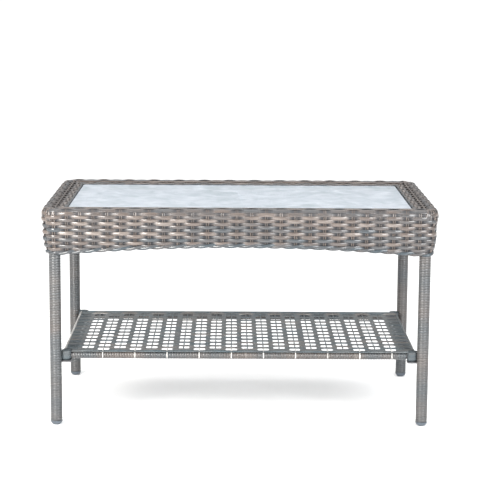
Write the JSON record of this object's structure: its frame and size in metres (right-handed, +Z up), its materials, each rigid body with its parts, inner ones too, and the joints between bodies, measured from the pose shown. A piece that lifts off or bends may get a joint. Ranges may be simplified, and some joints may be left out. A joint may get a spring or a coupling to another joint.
{
  "type": "wicker coffee table",
  "caption": "Low rectangular garden table with a woven resin skirt, a loose frosted glass top in a woven rim, round wound legs and an open-woven lower shelf.",
  "frame": {"origin": "on the floor, under the middle of the table", "axes": "+X along the table's length to the right, +Y from the front to the back, +Z up"},
  "size_m": [0.864, 0.508, 0.487],
  "materials": {
    "frame_paint": "dark grey powder coat",
    "skirt_weave": "half-round resin strand in taupe brown and blue grey",
    "shelf_weave": "resin strand in blue grey with brown streaks",
    "leg_strand": "flat resin strand, tightly wound",
    "glass": "rippled, slightly frosted toughened glass",
    "clear_pad": "clear soft bumper",
    "foot_plastic": "moulded blue grey plastic",
    "zinc": "zinc plated"
  },
  "bodies": {
    "table": {"corner_plate_back_left": "frame_paint", "corner_plate_back_right": "frame_paint", "corner_plate_front_left": "frame_paint", "corner_plate_front_right": "frame_paint", "foot_glide_back_left": "foot_plastic", "foot_glide_back_right": "foot_plastic", "foot_glide_front_left": "foot_plastic", "foot_glide_front_right": "foot_plastic", "glass_ledge_back": "frame_paint", "glass_ledge_front": "frame_paint", "glass_ledge_left": "frame_paint", "glass_ledge_right": "frame_paint", "glass_pads": "clear_pad", "leg_bolts": "zinc", "leg_plugs": "zinc", "leg_tube_back_left": "frame_paint", "leg_tube_back_right": "frame_paint", "leg_tube_front_left": "frame_paint", "leg_tube_front_right": "frame_paint", "leg_washers": "zinc", "leg_winding_back_left": "leg_strand", "leg_winding_back_right": "leg_strand", "leg_winding_front_left": "leg_strand", "leg_winding_front_right": "leg_strand", "rim_band_back": "skirt_weave", "rim_band_front": "skirt_weave", "rim_band_left": "skirt_weave", "rim_band_right": "skirt_weave", "shelf_block_back_left": "leg_strand", "shelf_block_back_right": "leg_strand", "shelf_block_front_left": "leg_strand", "shelf_block_front_right": "leg_strand", "shelf_bolts": "zinc", "shelf_brace_left": "frame_paint", "shelf_brace_right": "frame_paint", "shelf_brackets": "frame_paint", "shelf_rail_back": "frame_paint", "shelf_rail_front": "frame_paint", "shelf_rail_left": "frame_paint", "shelf_rail_right": "frame_paint", "shelf_weave": "shelf_weave", "shelf_winding_back": "leg_strand", "shelf_winding_front": "leg_strand", "shelf_winding_left": "leg_strand", "shelf_winding_right": "leg_strand", "skirt_hoop_back": "frame_paint", "skirt_hoop_front": "frame_paint", "skirt_hoop_left": "frame_paint", "skirt_hoop_right": "frame_paint", "top_rail_back": "frame_paint", "top_rail_front": "frame_paint", "top_rail_left": "frame_paint", "top_rail_right": "frame_paint", "woven_skirt_back": "skirt_weave", "woven_skirt_front": "skirt_weave", "woven_skirt_left": "skirt_weave", "woven_skirt_right": "skirt_weave"},
    "glass": {"glass_panel": "glass"}
  },
  "joints": [
    {"name": "glass_lift", "type": "slide", "parent": "table", "child": "glass", "axis": [0, 0, 1], "range_m": [0, 0.06]}
  ]
}
